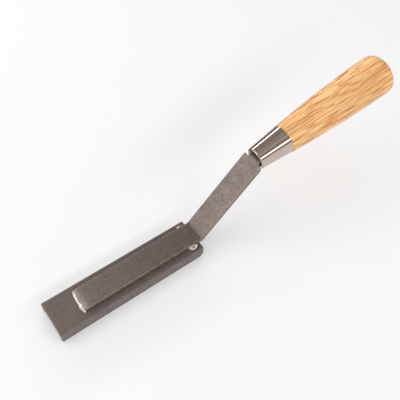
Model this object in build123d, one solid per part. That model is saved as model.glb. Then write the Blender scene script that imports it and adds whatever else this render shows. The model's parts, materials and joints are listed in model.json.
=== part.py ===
from build123d import *

import math
import os

# A brick jointer: a steel channel that is run along a mortar joint, with a bent flat bar welded on its back.
# The bar's tang is set in a turned wood handle behind a tapered ferrule. Millimetres.
# The origin is the middle of the sole, between the two legs that rest on the work. +X runs from the nose
# to the handle and +Z is up. Left and right are the user's, who looks from the handle to the nose, so
# left is -Y.

# Runner: a length of bar channel, legs down
RUNNER_LENGTH = 105.6
RUNNER_WIDTH = 25.4
RUNNER_HEIGHT = 10.0
WEB_THICKNESS = 3.2
LEG_AT_ROOT = 3.1
LEG_AT_TOE = 2.3
ROOT_RADIUS = 1.6
BACK_EDGE_RADIUS = 0.9
TOE_RADIUS = 0.5
HEEL_RADIUS = 4.5
NOSE_RADIUS = 1.2

# Bar: strap on the runner, shank and tang, bent from one flat bar
BAR_WIDTH = 15.875
BAR_THICKNESS = 3.175
BAR_EDGE_RADIUS = 0.4
BEND_RADIUS = 0.8
STRAP_SETBACK = 19.2
STRAP_END_RADIUS = 19.2
STRAP_END_GRIND_LENGTH = 4.7
STRAP_END_GRIND_DEPTH = 1.7
STRAP_CORNER_LEFT = 1.2
STRAP_CORNER_RIGHT = 2.6
HEEL_BEND_SETBACK = 106.9
SHANK_ANGLE = 46.8
SHANK_LENGTH = 62.6
SHOULDER_LEFT = 1.8
SHOULDER_RIGHT = 0.6

# Tang: the bar's narrow end, bent in line with the handle and mostly inside it
TANG_BEND_SETBACK = 1.3
TANG_WIDTH_AT_BEND = 9.4
TANG_WIDTH_AT_TIP = 6.0
TANG_LENGTH = 46.0

# Ferrule: a tapered tube with its mouth rolled in
HANDLE_ANGLE = 10.5
AXIS_BELOW_SHANK_TOP = 1.3
FERRULE_GAP = 1.9
FERRULE_LENGTH = 23.6
FERRULE_MOUTH_RADIUS = 7.53
FERRULE_REAR_RADIUS = 9.7
FERRULE_WALL = 0.8
LIP_THICKNESS = 2.1
LIP_DEPTH = 2.1
LIP_ROUND = 1.0

# Handle: turned wood, with a spigot in the ferrule and a grip from the ferrule's rear edge to the butt.
# The grip's swell is (distance from the ferrule, radius); the spigot and the hole for the tang are measured
# from the ferrule's mouth.
GRIP_LENGTH = 86.8
GRIP_FRONT_RADIUS = 9.92
FRONT_SLOPE = (1, 0.09)
GRIP_SWELL = [(24.8, 11.95), (46.0, 13.19), (69.6, 14.06)]
GRIP_LARGEST_RADIUS = 14.17
BUTT_CORNER_RADIUS = 4.6
BUTT_DOME_RADIUS = 32.0
BUTT_FLAT_RADIUS = 1.0
SPIGOT_RECESS = 5.0
TANG_HOLE_RADIUS = 4.0
TANG_HOLE_END = 48.0

# Welds: one along the strap's end, and a tack at each side of the strap near the heel. A tack's sizes are its
# side, setback from the nose, half length and radius.
END_WELD_HALF_LENGTH = 8.7
END_WELD_RADIUS = 2.0
END_WELD_BURIED = 0.9
END_WELD_TO_RIGHT = 0.5
TACKS = {"left": (-1, 99.8, 3.9, 2.2), "right": (1, 100.8, 2.7, 2.1)}
TACK_LIFT = 0.6
TACK_OUT = 0.25
CRATER_RADIUS = 1.3
CRATER_DEPTH = 0.45

NOSE_X = -RUNNER_LENGTH / 2
STRAP_TOP = RUNNER_HEIGHT + BAR_THICKNESS
HALF_BAR = BAR_WIDTH / 2


def ahead(start, angle, distance):
    """The point of a flat drawing at a distance from start, at an angle in degrees above its first axis."""
    turn = math.radians(angle)
    return (start[0] + distance * math.cos(turn), start[1] + distance * math.sin(turn))


# Points of the bar's top face in the side view, as (x, z)
STRAP_END = (NOSE_X + STRAP_SETBACK, STRAP_TOP)
HEEL_BEND = (NOSE_X + HEEL_BEND_SETBACK, STRAP_TOP)
SHOULDER = ahead(HEEL_BEND, SHANK_ANGLE, SHANK_LENGTH)
TANG_BEND = ahead(SHOULDER, SHANK_ANGLE, TANG_BEND_SETBACK)
TANG_TIP = ahead(TANG_BEND, HANDLE_ANGLE, TANG_LENGTH)

# The handle's own frame: X runs along its axis, from the ferrule's mouth to the butt.
MOUTH = ahead(ahead(SHOULDER, HANDLE_ANGLE - 90, AXIS_BELOW_SHANK_TOP), HANDLE_ANGLE, FERRULE_GAP)
HANDLE = Location((MOUTH[0], 0, MOUTH[1]), (0, -HANDLE_ANGLE, 0))
BUTT_X = FERRULE_LENGTH + GRIP_LENGTH


def side_prism(outline, width):
    """A side-view face in (x, z), extruded to a width that is centred on the middle plane."""
    return extrude(Plane.XZ * outline, width / 2, both=True)


def nearest_vertex(sketch, x, y):
    return sketch.vertices().sort_by_distance((x, y, 0))[0]


def bar_side(top, angles):
    """The bar's side view under its top points. The last of the angles is that of the run after the end."""
    turns = [math.radians(angle) for angle in (angles[0], *angles)]
    under = []
    for point, before, after in zip(top, turns, turns[1:]):
        square = (before + after) / 2 - math.pi / 2
        reach = BAR_THICKNESS / math.cos((after - before) / 2)
        under.append((point[0] + reach * math.cos(square), point[1] + reach * math.sin(square)))
    side = make_face(Polyline(*top, *reversed(under), close=True))
    for upper, lower, before, after in list(zip(top, under, turns, turns[1:]))[1:-1]:
        inner, outer = (upper, lower) if after > before else (lower, upper)
        side = fillet(nearest_vertex(side, *inner), BEND_RADIUS)
        side = fillet(nearest_vertex(side, *outer), BEND_RADIUS + BAR_THICKNESS)
    return side


def make_runner():
    """The channel, with tapered legs, filleted roots and a rounded nose and heel."""
    half = RUNNER_WIDTH / 2
    roof = RUNNER_HEIGHT - WEB_THICKNESS
    right_half = [
        (0, roof),
        (half - LEG_AT_ROOT, roof),
        (half - LEG_AT_TOE, 0),
        (half, 0),
        (half, RUNNER_HEIGHT),
        (0, RUNNER_HEIGHT),
    ]
    section = make_face(Polyline(*right_half, close=True))
    section = fillet(nearest_vertex(section, half - LEG_AT_ROOT, roof), ROOT_RADIUS)
    section = fillet(nearest_vertex(section, half, RUNNER_HEIGHT), BACK_EDGE_RADIUS)
    for toe_edge in (half, half - LEG_AT_TOE):
        section = fillet(nearest_vertex(section, toe_edge, 0), TOE_RADIUS)
    section += mirror(section, Plane.YZ)
    channel = extrude(Plane.YZ * section, RUNNER_LENGTH / 2, both=True)

    side = Pos(0, RUNNER_HEIGHT / 2) * Rectangle(RUNNER_LENGTH, RUNNER_HEIGHT)
    side = fillet(nearest_vertex(side, -NOSE_X, 0), HEEL_RADIUS)
    side = fillet(nearest_vertex(side, NOSE_X, 0), NOSE_RADIUS)
    return channel & side_prism(side, 2 * RUNNER_WIDTH)


def make_tang():
    """The tang, from inside the shank's end, round its bend and along the handle, narrowing to its tip."""
    start = ahead(SHOULDER, SHANK_ANGLE, -HALF_BAR)
    side = bar_side([start, TANG_BEND, TANG_TIP], [SHANK_ANGLE, HANDLE_ANGLE, HANDLE_ANGLE])
    at_bend, at_tip = TANG_WIDTH_AT_BEND / 2, TANG_WIDTH_AT_TIP / 2
    right_edge = [(start[0], at_bend), (TANG_BEND[0], at_bend), (TANG_TIP[0], at_tip)]
    left_edge = [(x, -y) for x, y in reversed(right_edge)]
    plan = make_face(Polyline(*right_edge, *left_edge, close=True))
    return side_prism(side, BAR_WIDTH) & extrude(plan, 2 * TANG_TIP[1])


def grind_strap_top(side):
    """The bar's side view with the strap's top ground down to its end, along an arc that starts level."""
    radius = (STRAP_END_GRIND_LENGTH**2 + STRAP_END_GRIND_DEPTH**2) / (2 * STRAP_END_GRIND_DEPTH)
    start_x = STRAP_END[0] + STRAP_END_GRIND_LENGTH
    block = Pos(start_x - radius / 2, STRAP_TOP) * Rectangle(radius, 2 * STRAP_END_GRIND_DEPTH)
    return side - (block - Pos(start_x, STRAP_TOP - radius) * Circle(radius))


def round_strap_end(bar):
    """The bar with the strap's end ground to an arc in plan, with soft corners."""
    reach = STRAP_END_RADIUS - math.sqrt(STRAP_END_RADIUS**2 - HALF_BAR**2)
    right, left = (STRAP_END[0] + reach, HALF_BAR), (STRAP_END[0] + reach, -HALF_BAR)
    end_arc = ThreePointArc(right, (STRAP_END[0], 0), left)
    back_x = STRAP_END[0] + BAR_WIDTH
    sides = Polyline(left, (back_x, -HALF_BAR), (back_x, HALF_BAR), right)
    plan = make_face([*end_arc.edges(), *sides.edges()])
    plan = fillet(nearest_vertex(plan, *right), STRAP_CORNER_RIGHT)
    plan = fillet(nearest_vertex(plan, *left), STRAP_CORNER_LEFT)

    block = Pos(STRAP_END[0], 0, STRAP_TOP / 2) * Box(BAR_WIDTH, 2 * BAR_WIDTH, 2 * STRAP_TOP)
    return bar - (block - extrude(plan, 2 * STRAP_TOP))


def make_bar():
    """Strap, shank and tang in one piece."""
    side = bar_side([STRAP_END, HEEL_BEND, SHOULDER], [0, SHANK_ANGLE, HANDLE_ANGLE])
    bar = side_prism(grind_strap_top(side), BAR_WIDTH)
    shoulder_middle = ahead(SHOULDER, (SHANK_ANGLE + HANDLE_ANGLE) / 2 - 90, BAR_THICKNESS / 2)
    for hand, radius in ((-1, SHOULDER_LEFT), (1, SHOULDER_RIGHT)):
        corner = Vector(shoulder_middle[0], hand * HALF_BAR, shoulder_middle[1])
        bar = fillet(bar.edges().sort_by(lambda edge: (edge.center() - corner).length)[0], radius)
    side_edges = bar.edges().filter_by(lambda edge: math.isclose(abs(edge.center().Y), HALF_BAR))
    bar = fillet(side_edges.filter_by(lambda edge: edge.length > BAR_WIDTH), BAR_EDGE_RADIUS)
    return round_strap_end(bar) + make_tang()


def ferrule_inside(x):
    """The tube's inner radius at x along the handle's axis."""
    taper = (FERRULE_REAR_RADIUS - FERRULE_MOUTH_RADIUS) / FERRULE_LENGTH
    return FERRULE_MOUTH_RADIUS - FERRULE_WALL + taper * x


def make_ferrule():
    mouth_hole = FERRULE_MOUTH_RADIUS - LIP_THICKNESS
    outline = [
        (0, mouth_hole),
        (0, FERRULE_MOUTH_RADIUS),
        (FERRULE_LENGTH, FERRULE_REAR_RADIUS),
        (FERRULE_LENGTH, ferrule_inside(FERRULE_LENGTH)),
        (LIP_DEPTH, ferrule_inside(LIP_DEPTH)),
        (LIP_DEPTH - LIP_ROUND, mouth_hole),
    ]
    wall = make_face(Polyline(*outline, close=True))
    for corner in outline[:2]:
        wall = fillet(nearest_vertex(wall, *corner), LIP_ROUND)
    return HANDLE * revolve(Plane.XZ * wall, Axis.X)


def make_tang_hole():
    """The drilled part of the handle's hole, in the handle's frame."""
    depth = TANG_HOLE_END - SPIGOT_RECESS
    return Pos(SPIGOT_RECESS + depth / 2, 0, 0) * Rot(0, 90, 0) * Cylinder(TANG_HOLE_RADIUS, depth)


def make_handle(bar):
    """The wood, bored for the tang, whose corners bite into the wood where it is wider than the hole.
    Its butt is domed, with a small flat in the middle where the lathe's centre held it."""
    swell = [(FERRULE_LENGTH + x, radius) for x, radius in GRIP_SWELL]
    dome = (BUTT_X - BUTT_DOME_RADIUS, 0)
    corner_y = GRIP_LARGEST_RADIUS - BUTT_CORNER_RADIUS
    corner_x = dome[0] + math.sqrt((BUTT_DOME_RADIUS - BUTT_CORNER_RADIUS) ** 2 - corner_y**2)
    join = math.degrees(math.atan2(corner_y, corner_x - dome[0]))
    corner = (corner_x, corner_y)
    front = (FERRULE_LENGTH, GRIP_FRONT_RADIUS)
    largest = (corner_x, GRIP_LARGEST_RADIUS)
    flat = math.degrees(math.asin(BUTT_FLAT_RADIUS / BUTT_DOME_RADIUS))
    flat_rim = ahead(dome, flat, BUTT_DOME_RADIUS)
    dome_rim = ahead(dome, join, BUTT_DOME_RADIUS)
    spigot = Polyline(
        flat_rim,
        (flat_rim[0], 0),
        (SPIGOT_RECESS, 0),
        (SPIGOT_RECESS, ferrule_inside(SPIGOT_RECESS)),
        (FERRULE_LENGTH, ferrule_inside(FERRULE_LENGTH)),
        front,
    )
    swell_line = Spline(front, *swell, largest, tangents=[FRONT_SLOPE, (1, 0)])
    corner_arc = ThreePointArc(largest, ahead(corner, (90 + join) / 2, BUTT_CORNER_RADIUS), dome_rim)
    dome_arc = ThreePointArc(dome_rim, ahead(dome, (join + flat) / 2, BUTT_DOME_RADIUS), flat_rim)
    outline = [edge for line in (spigot, swell_line, corner_arc, dome_arc) for edge in line.edges()]
    wood = revolve(Plane.XZ * make_face(outline), Axis.X)
    return HANDLE * (wood - make_tang_hole()) - bar


def make_adhesive(bar):
    """The set adhesive that fills the drilled hole round the tang."""
    return HANDLE * make_tang_hole() - bar


def spindle(half_length, radius):
    """An ellipsoid of revolution along X, the plain shape of a bead of weld."""
    half_ellipse = Ellipse(half_length, radius) & Pos(0, radius / 2) * Rectangle(2 * half_length, radius)
    return revolve(half_ellipse, Axis.X)


def make_end_weld(runner, bar):
    """The bead that fills the corner along the strap's end and dies out at its ends."""
    place = Pos(STRAP_END[0] + END_WELD_BURIED, END_WELD_TO_RIGHT, RUNNER_HEIGHT)
    bead = place * Rot(0, 0, 90) * spindle(END_WELD_HALF_LENGTH, END_WELD_RADIUS)
    return bead - runner - bar


def make_tack(runner, bar, hand, setback, half_length, radius):
    """A tack weld in the corner between the strap's side and the runner's back, with a crater in its top."""
    lean = hand * math.pi / 4
    crater_reach = radius + CRATER_RADIUS - CRATER_DEPTH
    crater_place = Pos(0, crater_reach * math.sin(lean), crater_reach * math.cos(lean))
    tack = spindle(half_length, radius) - crater_place * Sphere(CRATER_RADIUS)
    place = Pos(NOSE_X + setback, hand * (HALF_BAR + TACK_OUT), RUNNER_HEIGHT + TACK_LIFT)
    return place * tack - runner - bar


def make_parts():
    runner = make_runner()
    bar = make_bar()
    parts = {
        "runner_channel": runner,
        "strap_and_shank": bar,
        "strap_end_weld": make_end_weld(runner, bar),
        "ferrule": make_ferrule(),
        "wood_handle": make_handle(bar),
        "tang_adhesive": make_adhesive(bar),
    }
    for name, sizes in TACKS.items():
        parts[f"heel_tack_{name}"] = make_tack(runner, bar, *sizes)
    return parts


os.makedirs("parts", exist_ok=True)
for node, shape in make_parts().items():
    export_step(shape, f"parts/{node}.step")
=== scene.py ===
import json
import math

import bmesh
import bpy
from mathutils import Matrix, Vector, noise


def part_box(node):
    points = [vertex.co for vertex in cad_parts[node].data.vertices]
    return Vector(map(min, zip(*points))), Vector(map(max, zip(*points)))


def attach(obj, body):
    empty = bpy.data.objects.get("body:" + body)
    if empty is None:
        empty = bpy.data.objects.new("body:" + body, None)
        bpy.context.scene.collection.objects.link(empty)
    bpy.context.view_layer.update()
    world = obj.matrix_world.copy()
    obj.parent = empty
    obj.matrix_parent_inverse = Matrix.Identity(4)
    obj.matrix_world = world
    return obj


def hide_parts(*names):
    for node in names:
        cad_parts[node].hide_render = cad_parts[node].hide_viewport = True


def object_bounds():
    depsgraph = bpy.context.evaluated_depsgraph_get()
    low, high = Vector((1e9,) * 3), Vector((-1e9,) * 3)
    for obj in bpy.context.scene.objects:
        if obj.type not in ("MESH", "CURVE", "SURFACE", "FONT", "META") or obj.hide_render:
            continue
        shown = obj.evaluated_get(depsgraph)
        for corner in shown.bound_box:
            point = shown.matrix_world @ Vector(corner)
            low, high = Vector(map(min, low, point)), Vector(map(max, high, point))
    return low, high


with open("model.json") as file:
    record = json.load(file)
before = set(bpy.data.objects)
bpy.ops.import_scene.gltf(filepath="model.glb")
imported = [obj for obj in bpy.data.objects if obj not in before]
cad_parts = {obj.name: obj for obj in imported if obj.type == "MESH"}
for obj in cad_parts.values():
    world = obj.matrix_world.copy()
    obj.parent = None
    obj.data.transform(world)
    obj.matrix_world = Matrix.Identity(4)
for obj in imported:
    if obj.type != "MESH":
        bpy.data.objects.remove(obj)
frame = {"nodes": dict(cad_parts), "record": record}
cad_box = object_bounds()

# A brick jointer with a steel channel, a cranked bar, a chromed ferrule and a turned wood handle.
# Metres. +X runs from the nose to the handle, +Z is up, and the near side is -Y.
MM = 0.001

# Camera: above the near side, looking down at the tool
CAMERA_PLACE = (-0.0718, -0.1475, 0.3282)
CAMERA_TURN = (34.708, -3.179, -36.434)
LENS_MM = 49.78

# What the tool reflects, and what shows behind it
ROOM = (0.34, 0.31, 0.285)
BACKDROP = (0.93, 0.93, 0.925)

# The handle's frame: X along its axis, from the ferrule's mouth to the butt
GRIP = next(m for m in frame["record"]["mounts"] if m["name"] == "handle_grip")
AXIS = Vector(GRIP["axis"]).normalized()
TILT = math.atan2(AXIS.z, AXIS.x)

# Wood: how far the board was turned about the handle's axis, so that the near side shows fine straight
# lines and the far side the broad figure, how far its grain is askew to the axis, and its growth rings,
# which are round a pith outside the handle
BOARD_TURN = math.radians(-32)
GRAIN_SKEW = math.radians(1)
PITH = (0, -52 * MM, -35 * MM)
RING_WIDTH = 2.8 * MM
RING_SWAY = 12 * MM

# The bead of weld along the strap's end, whose middle line lies behind its CAD stand-in's front and above
# the channel's back
BEAD_RADIUS = 1.3 * MM
BEAD_SETBACK = 1.4 * MM
BEAD_LIFT = 0.2 * MM
BEAD_RINGS = 120
BEAD_SIDES = 32
BEAD_CROWN = math.radians(60)
GROOVE_DEPTH = 0.45 * MM
BLOB_HEIGHT = 0.9 * MM
RIPPLE_PITCH = 1.15 * MM
RIPPLE_HEIGHT = 0.015 * MM

# The tacks at the heel
TACK_LIFT = 0.6 * MM
CRATER_WIDTH = 0.36
CRATER_RING_ANGLE = 0.75

# Slag on the welds, and spatter on the strap near the left tack: each drop's offset from the tack's middle
# along X and Y, and its radius, in millimetres
SLAG = (0.10, 0.085, 0.08)
DROPS = [(-2.6, 2.6, 0.30), (-4.4, 3.9, 0.22), (0.9, 3.2, 0.24), (-5.8, 2.0, 0.18)]

# Places on the steel
STRAP_LOW, STRAP_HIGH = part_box("strap_and_shank")
CHANNEL_LOW, CHANNEL_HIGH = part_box("runner_channel")
BACK = CHANNEL_HIGH.z
STRAP_THICKNESS = 3.175 * MM
STRAP_TOP = BACK + STRAP_THICKNESS
HEEL_BEND_X = CHANNEL_HIGH.x + 1.3 * MM
SHOULDER_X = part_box("ferrule")[0].x + 3 * MM
SHANK_X = (HEEL_BEND_X + SHOULDER_X) / 2
SHANK_Z = (STRAP_TOP + STRAP_HIGH.z) / 2

# The stage: the floor lies just under the tool, and a dark cloth lies on the floor, behind the tool
FLOOR_HALF_SIZE = 1.8
FLOOR_Z = cad_box[0].z - 0.02 * MM
FLOOR_GLOW = 0.25
CLOTH_HALF_SIZE = 0.5
CLOTH_EDGE_Y = 50 * MM
CLOTH_Z = FLOOR_Z + 0.5 * MM


def middle_of(cad_node):
    """The middle of a CAD node's box."""
    low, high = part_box(cad_node)
    return (low + high) / 2


def node(tree, kind, inputs=None, **settings):
    """A new shader node with its settings, and its inputs set to values or linked to sockets."""
    made = tree.nodes.new("ShaderNode" + kind)
    for name, value in settings.items():
        setattr(made, name, value)
    for name, value in (inputs or {}).items():
        if isinstance(value, bpy.types.NodeSocket):
            tree.links.new(value, made.inputs[name])
        else:
            made.inputs[name].default_value = value
    return made


def math_node(tree, operation, *values):
    """The result of a sum on values and sockets."""
    return node(tree, "Math", dict(enumerate(values)), operation=operation).outputs[0]


def ramp(tree, value, low, high, to_low=0.0, to_high=1.0):
    """The value stretched from low..high to to_low..to_high, with soft ends."""
    inputs = {"Value": value, "From Min": low, "From Max": high, "To Min": to_low, "To Max": to_high}
    return node(tree, "MapRange", inputs, interpolation_type="SMOOTHSTEP").outputs["Result"]


def mix(tree, share, first, second, blend="MIX"):
    """A colour between two colours, or the first colour blended with the second in another way."""
    made = node(tree, "Mix", {"Factor": share}, data_type="RGBA", blend_type=blend)
    for socket, value in (("A_Color", first), ("B_Color", second)):
        target = next(s for s in made.inputs if s.identifier == socket)
        if isinstance(value, bpy.types.NodeSocket):
            tree.links.new(value, target)
        else:
            target.default_value = (*value, 1)
    return next(s for s in made.outputs if s.identifier == "Result_Color")


def scaled(tree, where, sizes):
    """A place measured in sizes, one for each axis."""
    inputs = {0: where, 1: tuple(1 / s for s in sizes)}
    return node(tree, "VectorMath", inputs, operation="MULTIPLY").outputs[0]


def scatter(tree, where, size, detail=3.0, roughness=0.55):
    """Noise of a feature size in metres, one number or one for each axis."""
    sizes = size if isinstance(size, tuple) else (size,) * 3
    stretched = scaled(tree, where, sizes)
    inputs = {"Vector": stretched, "Scale": 1.0, "Detail": detail, "Roughness": roughness}
    return node(tree, "TexNoise", inputs).outputs["Fac"]


def weighted(tree, *shares):
    """The sum of values, each times its weight."""
    total = 0.0
    for value, weight in shares:
        total = math_node(tree, "MULTIPLY_ADD", value, weight, total)
    return total


def near(tree, where, place, size, ragged):
    """1 at a place, fading to 0 about its size from it, which has a reach for each axis. The border is
    ragged by a noise."""
    off = node(tree, "VectorMath", {0: where, 1: place}, operation="SUBTRACT").outputs[0]
    far = node(tree, "VectorMath", {0: scaled(tree, off, size)}, operation="LENGTH").outputs["Value"]
    return ramp(tree, math_node(tree, "MULTIPLY_ADD", ragged, 0.6, far), 1.3, 0.3)


def material(name):
    """A new material with an empty node tree."""
    made = bpy.data.materials.new(name)
    made.use_nodes = True
    made.node_tree.nodes.clear()
    return made, made.node_tree


def finish_surface(tree, colour, roughness, height, depth, **constants):
    """The shader and the bump that a material ends with."""
    bump = node(tree, "Bump", {"Height": height, "Distance": depth, "Strength": 1.0})
    inputs = {"Base Color": colour, "Roughness": roughness, "Normal": bump.outputs[0], **constants}
    shader = node(tree, "BsdfPrincipled", inputs)
    node(tree, "OutputMaterial", {"Surface": shader.outputs[0]})


def worn_edges(tree, reach):
    """1 on an edge that is rubbed bright, falling to 0 at the reach from it."""
    soft = node(tree, "Bevel", {"Radius": reach}, samples=8).outputs[0]
    sharp = node(tree, "NewGeometry").outputs["Normal"]
    bend = node(tree, "VectorMath", {0: soft, 1: sharp}, operation="DOT_PRODUCT").outputs["Value"]
    return ramp(tree, bend, 0.995, 0.93)


def patched(tree, where, ragged, colour, patches):
    """The colour multiplied by each patch's tint. The patches are real marks, such as scorch, and painted
    light and shade. A patch is a place, its reach on each axis and a tint.
    """
    for place, size, tint in patches:
        colour = mix(tree, near(tree, where, place, size, ragged), colour, tint, "MULTIPLY")
    return colour


def scale_steel(name, dark, light, rubbed, patches):
    """Hot-rolled steel with its thin dark scale, mottled and specked, and rubbed pale on its edges."""
    made, tree = material(name)
    where = node(tree, "TexCoord").outputs["Object"]
    clouds = scatter(tree, where, 7 * MM, 3)
    mottle = scatter(tree, where, 1.5 * MM, 4, 0.6)
    rolled = scatter(tree, where, (14 * MM, 0.5 * MM, 0.5 * MM), 3)
    specks = ramp(tree, scatter(tree, where, 1.5 * MM, 1), 0.66, 0.74)
    tone = weighted(tree, (mottle, 0.5), (clouds, 0.2), (rolled, 0.3))
    colour = mix(tree, ramp(tree, tone, 0.33, 0.67), dark, light)
    colour = mix(tree, math_node(tree, "MULTIPLY", specks, 0.4), colour, tuple(c * 0.5 for c in dark))
    # patches of tint: real scorch and grinding, and painted light and shade
    colour = patched(tree, where, mottle, colour, patches)
    patchy = ramp(tree, mottle, 0.3, 0.6, 0.4, 0.95)
    worn = math_node(tree, "MULTIPLY", worn_edges(tree, 0.9 * MM), patchy)
    colour = mix(tree, worn, colour, rubbed)
    roughness = ramp(tree, tone, 0.35, 0.65, 0.60, 0.44)
    height = weighted(tree, (mottle, 0.7), (rolled, 0.3))
    finish_surface(tree, colour, roughness, height, 0.06 * MM, Metallic=0.6)
    return made


def weld_metal(name, dull, bright, patches, metallic=1.0):
    """Weld metal, bright on its crowns, with flecks of dark slag."""
    made, tree = material(name)
    where = node(tree, "TexCoord").outputs["Object"]
    lumps = scatter(tree, where, 1.1 * MM, 4)
    flecks = ramp(tree, scatter(tree, where, 0.7 * MM, 2), 0.66, 0.74)
    colour = mix(tree, ramp(tree, lumps, 0.35, 0.6), dull, bright)
    colour = mix(tree, flecks, colour, SLAG)
    colour = patched(tree, where, lumps, colour, patches)
    roughness = ramp(tree, lumps, 0.3, 0.7, 0.48, 0.32)
    finish_surface(tree, colour, roughness, lumps, 0.05 * MM, Metallic=metallic)
    return made


def chrome():
    """Plated steel, polished round and round, with a few hairlines."""
    made, tree = material("chrome")
    where = node(tree, "TexCoord").outputs["Object"]
    haze = scatter(tree, where, 6 * MM, 3)
    hairs = scatter(tree, where, (0.25 * MM, 5 * MM, 5 * MM), 2)
    colour = mix(tree, haze, (0.535, 0.450, 0.405), (0.60, 0.505, 0.455))
    roughness = ramp(tree, math_node(tree, "MULTIPLY", haze, hairs), 0.15, 0.4, 0.05, 0.11)
    finish_surface(tree, colour, roughness, hairs, 0.001 * MM, Metallic=1.0)
    return made


def lacquered_wood():
    """Pale open-grained hardwood under clear lacquer. The grain runs along the handle, a little askew."""
    made, tree = material("lacquered_wood")
    world = node(tree, "TexCoord").outputs["Object"]
    level = node(tree, "Mapping", {"Vector": world, "Rotation": (0, TILT, 0)}).outputs[0]
    turn = (BOARD_TURN, 0, GRAIN_SKEW)
    where = node(tree, "Mapping", {"Vector": level, "Rotation": turn}).outputs[0]
    sway = scatter(tree, where, (60 * MM, 18 * MM, 18 * MM), 2)
    bands = scatter(tree, where, (60 * MM, 3 * MM, 9 * MM), 2)
    streaks = scatter(tree, where, (30 * MM, 0.55 * MM, 2.4 * MM), 0)
    fibres = scatter(tree, where, (17 * MM, 0.47 * MM, 2 * MM), 0)
    pores = scatter(tree, where, (14 * MM, 0.50 * MM, 2 * MM), 0)

    across = node(tree, "VectorMath", {0: where, 1: (0, 1, 1)}, operation="MULTIPLY").outputs[0]
    pith = node(tree, "VectorMath", {0: across, 1: PITH}, operation="DISTANCE").outputs["Value"]
    swayed = math_node(tree, "MULTIPLY_ADD", sway, RING_SWAY, pith)
    rings = math_node(tree, "DIVIDE", swayed, RING_WIDTH)
    early = ramp(tree, math_node(tree, "FRACT", rings), 0.6, 0.0)
    dashes = ramp(tree, math_node(tree, "MULTIPLY_ADD", early, 0.08, pores), 0.56, 0.66)

    colour = mix(tree, ramp(tree, bands, 0.38, 0.62), (0.88, 0.46, 0.165), (0.96, 0.58, 0.25))
    colour = mix(tree, ramp(tree, streaks, 0.46, 0.33, 0.0, 0.8), colour, (0.70, 0.26, 0.045))
    colour = mix(tree, math_node(tree, "MULTIPLY", early, 0.25), colour, (0.72, 0.31, 0.08))
    colour = mix(tree, ramp(tree, fibres, 0.50, 0.65, 0.0, 0.80), colour, (0.97, 0.68, 0.345))
    colour = mix(tree, math_node(tree, "MULTIPLY", dashes, 0.85), colour, (0.52, 0.18, 0.025))
    behind_ferrule = (middle_of("ferrule") + AXIS * 15 * MM, (18 * MM,) * 3, (0.93, 0.87, 0.84))
    colour = patched(tree, world, bands, colour, [behind_ferrule])
    roughness = ramp(tree, streaks, 0.3, 0.7, 0.55, 0.42)
    height = math_node(tree, "SUBTRACT", fibres, dashes)
    coat = {"Coat Weight": 0.25, "Coat Roughness": 0.28, "Coat IOR": 1.5}
    finish_surface(tree, colour, roughness, height, 0.008 * MM, **coat)
    return made


def set_adhesive():
    """Dark filled adhesive with a dull uneven skin."""
    made, tree = material("set_adhesive")
    where = node(tree, "TexCoord").outputs["Object"]
    lumps = scatter(tree, where, 1.5 * MM, 4)
    colour = mix(tree, lumps, (0.06, 0.054, 0.05), (0.14, 0.125, 0.115))
    finish_surface(tree, colour, ramp(tree, lumps, 0.3, 0.7, 0.75, 0.5), lumps, 0.2 * MM)
    return made


def dress(name, made):
    """Gives a CAD node its material."""
    mesh = frame["nodes"][name].data
    mesh.materials.clear()
    mesh.materials.append(made)


def lump(place, size, seed=0.0):
    """Smooth unevenness from -1 to 1, at a place, with lumps of a size in metres."""
    return noise.noise(place / size + Vector((seed, seed, seed)))


def hump(distance, width):
    """A smooth hump, 1 in its middle and fading to 0 at about twice its width."""
    return math.exp(-((distance / width) ** 2))


def weld_piece(name, shape, made, stands_for):
    """Makes a piece of a bmesh of weld metal, in place of the CAD node that it stands for."""
    bmesh.ops.recalc_face_normals(shape, faces=shape.faces)
    mesh = bpy.data.meshes.new(name)
    shape.to_mesh(mesh)
    shape.free()
    mesh.shade_smooth()
    mesh.materials.append(made)
    piece = bpy.data.objects.new(name, mesh)
    bpy.context.scene.collection.objects.link(piece)
    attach(piece, "root")
    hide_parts(stands_for)


def end_bead_radius(along, side, place):
    """The end bead's radius, along it from 0 at its far end to 1, and at an angle up from its outer side.
    It starts thin and has a groove between two ridges as far as its middle. Then comes a blob, where the
    arc was broken off."""
    taper = max(0.0, 1 - (2 * along - 1) ** 6) ** 0.5 * (1 - 0.3 * hump(along, 0.2))
    from_crown = side - BEAD_CROWN
    groove = GROOVE_DEPTH * hump(from_crown, 0.30) * hump(max(0.0, along - 0.52), 0.07)
    blob_width = 0.09 if along < 0.75 else 0.16
    blob = BLOB_HEIGHT * hump(along - 0.75, blob_width) * max(0.0, math.cos(from_crown))
    ripple = RIPPLE_HEIGHT * math.sin(math.tau * place.y / RIPPLE_PITCH + 1.2 * math.cos(side))
    uneven = 0.10 * MM * lump(place, 2.2 * MM) + 0.015 * MM * lump(place, 0.6 * MM)
    return taper * (BEAD_RADIUS - groove + blob + ripple + uneven)


def end_bead():
    """The bead along the strap's end, bowed like the end and lying in its corner."""
    low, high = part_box("strap_end_weld")
    shape = bmesh.new()
    rings = []
    for step in range(BEAD_RINGS + 1):
        along = step / BEAD_RINGS
        bow = (0.6 if along < 0.5 else -0.1) * MM * (2 * along - 1) ** 2
        y = high.y + (low.y - high.y) * along
        middle = Vector((low.x + BEAD_SETBACK + bow, y, low.z + BEAD_LIFT))
        ring = []
        for turn in range(BEAD_SIDES):
            side = math.tau * turn / BEAD_SIDES
            out = Vector((-math.cos(side), 0, math.sin(side)))
            side = math.remainder(side, math.tau)
            radius = end_bead_radius(along, side, middle + out * BEAD_RADIUS)
            ring.append(shape.verts.new(middle + out * radius))
        rings.append(ring)
    for ring, following in zip(rings, rings[1:]):
        for turn in range(BEAD_SIDES):
            after = (turn + 1) % BEAD_SIDES
            shape.faces.new((ring[turn], ring[after], following[after], following[turn]))
    bmesh.ops.remove_doubles(shape, verts=shape.verts, dist=0.001 * MM)
    return shape


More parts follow.
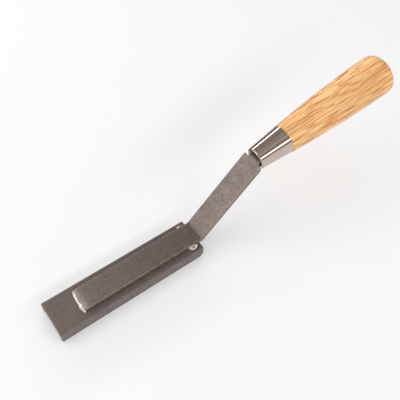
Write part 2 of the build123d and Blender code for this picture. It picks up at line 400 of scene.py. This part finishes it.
def tack_bead(cad_node, hand, crater_depth, seed):
    """A tack weld: a lump in the corner beside the strap, with a crater in a raised ring where it cooled
    last."""
    low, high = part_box(cad_node)
    strap_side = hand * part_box("strap_and_shank")[1].y
    centre = Vector(((low.x + high.x) / 2, strap_side, low.z + TACK_LIFT))
    outer_side = high.y if hand > 0 else low.y
    reach = Vector(((high.x - low.x) / 2, abs(outer_side - strap_side), high.z - centre.z))
    facing = Vector((0, hand, 1)).normalized()
    shape = bmesh.new()
    bmesh.ops.create_icosphere(shape, subdivisions=5, radius=1)
    for vert in shape.verts:
        out = vert.co.normalized()
        from_crater = out.angle(facing)
        crater = hump(from_crater, CRATER_WIDTH) * crater_depth
        ring = hump(from_crater - CRATER_RING_ANGLE, 0.26) * crater_depth * 0.35
        ripple = 0.02 * math.sin(14 * from_crater)
        uneven = 0.10 * lump(out, 0.6, seed) + 0.04 * lump(out, 0.2, seed)
        swell = 1 + ring - crater + ripple + uneven
        vert.co = centre + Vector(r * c for r, c in zip(reach, out)) * swell
    return shape


def add_drop(shape, place, radius):
    """A drop of spatter that stuck where it fell."""
    made = bmesh.ops.create_icosphere(shape, subdivisions=3, radius=1)
    for vert in made["verts"]:
        swell = radius * (1 + 0.25 * lump(vert.co, 0.9, place.x / MM))
        vert.co = place + vert.co * Vector((1, 1, 0.7)) * swell


def pale_floor():
    """A pale sheet that glows a little, so that shadows stay light. It can't be seen from below, and away
    from the tool it fades into the backdrop."""
    made, tree = material("pale_floor")
    where = node(tree, "TexCoord").outputs["Object"]
    tone = scatter(tree, where, 0.4, 2)
    colour = mix(tree, tone, (0.66, 0.68, 0.70), (0.675, 0.695, 0.715))
    glow = {"Emission Color": (*(FLOOR_GLOW,) * 3, 1), "Emission Strength": 1.0}
    finish = {"Base Color": colour, "Roughness": 0.9, "Specular IOR Level": 0.2, **glow}
    shader = node(tree, "BsdfPrincipled", finish)
    below = node(tree, "NewGeometry").outputs["Backfacing"]
    away = node(tree, "VectorMath", {0: where}, operation="LENGTH").outputs["Value"]
    direct = node(tree, "LightPath").outputs["Is Camera Ray"]
    faded = math_node(tree, "MULTIPLY", ramp(tree, away, 0.4, 1.2), direct)
    gone = math_node(tree, "MAXIMUM", below, faded)
    clear = node(tree, "BsdfTransparent")
    surface = node(tree, "MixShader", {0: gone, 1: shader.outputs[0], 2: clear.outputs[0]})
    node(tree, "OutputMaterial", {"Surface": surface.outputs[0]})
    return made


def dark_cloth():
    """Dark woven cloth."""
    made, tree = material("dark_cloth")
    weave = scatter(tree, node(tree, "TexCoord").outputs["Object"], 3 * MM, 2)
    colour = mix(tree, weave, (0.15, 0.138, 0.13), (0.20, 0.185, 0.175))
    finish_surface(tree, colour, 0.9, weave, 0.1 * MM)
    return made


def lay_sheet(name, half_size, place, made):
    """Lays a level square sheet on the stage."""
    mesh = bpy.data.meshes.new(name)
    shape = bmesh.new()
    bmesh.ops.create_grid(shape, x_segments=8, y_segments=8, size=half_size)
    shape.to_mesh(mesh)
    shape.free()
    mesh.materials.append(made)
    sheet = bpy.data.objects.new(name, mesh)
    sheet.location = place
    bpy.context.scene.collection.objects.link(sheet)
    return sheet


def make_floor():
    """The floor, and the dark cloth, which shows in shiny surfaces and nowhere else, so that their far
    edges stand out."""
    lay_sheet("floor", FLOOR_HALF_SIZE, (0, 0, FLOOR_Z), pale_floor())
    place = (100 * MM, CLOTH_EDGE_Y + CLOTH_HALF_SIZE, CLOTH_Z)
    cloth = lay_sheet("cloth", CLOTH_HALF_SIZE, place, dark_cloth())
    cloth.visible_camera = False
    cloth.visible_diffuse = False
    cloth.visible_shadow = False


def softbox(name, toward, rise, distance, size, power, seen=True):
    """A rectangular studio light. Toward is its compass angle from +X and rise its height, in degrees."""
    lamp = bpy.data.lights.new(name, "AREA")
    lamp.shape = "RECTANGLE"
    lamp.size, lamp.size_y = size
    lamp.energy = power
    out = Matrix.Rotation(math.radians(toward), 3, "Z") @ Matrix.Rotation(-math.radians(rise), 3, "Y")
    box = bpy.data.objects.new(name, lamp)
    box.location = (cad_box[0] + cad_box[1]) / 2 + out @ Vector((distance, 0, 0))
    box.rotation_euler = (out @ Vector((1, 0, 0))).to_track_quat("Z", "Y").to_euler()
    box.visible_camera = False
    box.visible_glossy = seen
    bpy.context.scene.collection.objects.link(box)


def make_world():
    """A pale backdrop that lights the tool like a dim room, so that the chrome has dark things to show."""
    world = bpy.data.worlds.new("studio")
    world.use_nodes = True
    tree = world.node_tree
    tree.nodes.clear()
    direct = node(tree, "LightPath").outputs["Is Camera Ray"]
    colour = mix(tree, direct, ROOM, BACKDROP)
    glow = node(tree, "Background", {"Color": colour, "Strength": 1.0})
    node(tree, "OutputWorld", {"Surface": glow.outputs[0]})
    bpy.context.scene.world = world


def make_camera():
    """The camera, at the photo's angle."""
    lens = bpy.data.cameras.new("camera")
    lens.lens = LENS_MM
    lens.clip_start = 0.01
    camera = bpy.data.objects.new("camera", lens)
    camera.location = CAMERA_PLACE
    camera.rotation_euler = [math.radians(angle) for angle in CAMERA_TURN]
    bpy.context.scene.collection.objects.link(camera)
    bpy.context.scene.camera = camera


def make_studio():
    """The lights, the backdrop, the floor and the camera. The long softboxes draw the ferrule's stripes, the
    nose softbox shows in the shank, and the overhead one lights everything but shows in nothing."""
    softbox("far_softbox", 79, 16, 1.2, (2.0, 0.15), 6.3)
    softbox("near_softbox", -80, 37.5, 1.1, (2.0, 0.15), 5)
    softbox("near_low_panel", -80, 8, 1.1, (2.0, 0.30), 1.3)
    softbox("nose_softbox", 152, 30, 1.1, (0.9, 1.0), 4.9)
    softbox("camera_side_panel", -80, 71, 1.1, (1.6, 0.12), 0.18)
    softbox("camera_side_glow", -80, 86, 1.1, (1.6, 0.80), 0.33)
    softbox("overhead", 90, 80, 1.3, (1.8, 1.8), 6.5, seen=False)
    make_world()
    make_floor()
    make_camera()
    bpy.context.scene.view_settings.view_transform = "Standard"


def dress_steel():
    """The channel, scorched round the tacks and made paler with painted light towards its nose and on its
    side walls, and the bar.
    The bar's strap top is darkened with painted shade, most towards the heel, has a heat tint and painted
    shade in the crease at the bend, and is ground clean at its end, where a painted highlight lies too. Its
    shank has a painted highlight along its near edge, painted shade along its far one, and painted shade at
    its shoulder."""
    tacks = [middle_of("heel_tack_left"), middle_of("heel_tack_right")]
    scorch = (0.70, 0.62, 0.59)
    channel_scorch_and_painted_light = [(tack, (7 * MM, 4 * MM, 4 * MM), scorch) for tack in tacks]
    # painted light: the nose is made paler
    channel_scorch_and_painted_light.append(((CHANNEL_LOW.x, 0, BACK), (60 * MM, 40 * MM, 20 * MM), (1.14, 1.13, 1.13)))
    # painted light: both side walls are made paler
    for side in (CHANNEL_LOW.y, CHANNEL_HIGH.y):
        channel_scorch_and_painted_light.append(((0, side, 4 * MM), (160 * MM, 1.5 * MM, 8 * MM), (1.22, 1.21, 1.21)))
    dark, light, rubbed = (0.134, 0.111, 0.103), (0.210, 0.176, 0.164), (0.52, 0.47, 0.44)
    dress("runner_channel", scale_steel("mill_steel", dark, light, rubbed, channel_scorch_and_painted_light))

    bar_tints_and_painted_light = [
        # painted shade: the strap's flat top is made darker than the shank, most towards the heel
        ((10 * MM, 0, STRAP_TOP), (75 * MM, 30 * MM, 2.2 * MM), (0.79, 0.79, 0.80)),
        ((45 * MM, 0, STRAP_TOP), (50 * MM, 30 * MM, 2.2 * MM), (0.74, 0.73, 0.73)),
        # heat tint, and painted shade in the crease at the heel bend
        ((HEEL_BEND_X - 3 * MM, 0, STRAP_TOP - 1 * MM), (5 * MM, 12 * MM, 2 * MM), (0.82, 0.74, 0.71)),
        # ground clean at the strap's end, with a painted highlight of its rounding there too
        ((STRAP_LOW.x + 1 * MM, 0, STRAP_TOP), (8 * MM, 14 * MM, 4 * MM), (1.22, 1.25, 1.28)),
        (tacks[0], (5 * MM, 3 * MM, 4 * MM), scorch),
        # painted highlight along the shank's near edge, and painted shade along its far one
        ((SHANK_X, STRAP_LOW.y, SHANK_Z), (60 * MM, 4 * MM, 50 * MM), (1.15, 1.14, 1.13)),
        ((SHANK_X, STRAP_HIGH.y, SHANK_Z), (60 * MM, 10 * MM, 50 * MM), (0.88, 0.88, 0.89)),
        # painted shade at the shoulder, where the tang goes into the ferrule
        ((SHOULDER_X, 0, 60 * MM), (5 * MM, 12 * MM, 14 * MM), (0.68, 0.65, 0.64)),
    ]
    dark, light, rubbed = (0.186, 0.153, 0.139), (0.295, 0.249, 0.228), (0.54, 0.49, 0.46)
    dress("strap_and_shank", scale_steel("bar_steel", dark, light, rubbed, bar_tints_and_painted_light))


def make_welds():
    """The three welds, with their ripples, craters and spatter."""
    far_tip_place = middle_of("strap_end_weld") + Vector((0, 8.5, 0)) * MM
    far_tip = (far_tip_place, (4 * MM, 4.5 * MM, 4 * MM), (0.5, 0.47, 0.455))
    end_metal = weld_metal("end_weld", (0.70, 0.67, 0.65), (0.95, 0.93, 0.91), [far_tip], 0.6)
    weld_piece("end_bead", end_bead(), end_metal, "strap_end_weld")

    middle = middle_of("heel_tack_left")
    left = tack_bead("heel_tack_left", -1, crater_depth=0.34, seed=3.0)
    for along, across, radius in DROPS:
        add_drop(left, Vector((middle.x + along * MM, middle.y + across * MM, STRAP_TOP)), radius * MM)
    crater_place = middle + Vector((0.4, -0.3, 0.9)) * MM
    crater = (crater_place, (1.5 * MM, 1 * MM, 1 * MM), (0.2, 0.18, 0.17))
    left_metal = weld_metal("left_tack", (0.30, 0.275, 0.265), (0.66, 0.615, 0.60), [crater])
    weld_piece("tack_bead_left", left, left_metal, "heel_tack_left")

    right = tack_bead("heel_tack_right", 1, crater_depth=0.12, seed=8.0)
    right_metal = weld_metal("right_tack", (0.24, 0.21, 0.20), (0.52, 0.48, 0.45), ())
    weld_piece("tack_bead_right", right, right_metal, "heel_tack_right")


make_studio()
dress_steel()
make_welds()
dress("ferrule", chrome())
dress("wood_handle", lacquered_wood())
dress("tang_adhesive", set_adhesive())
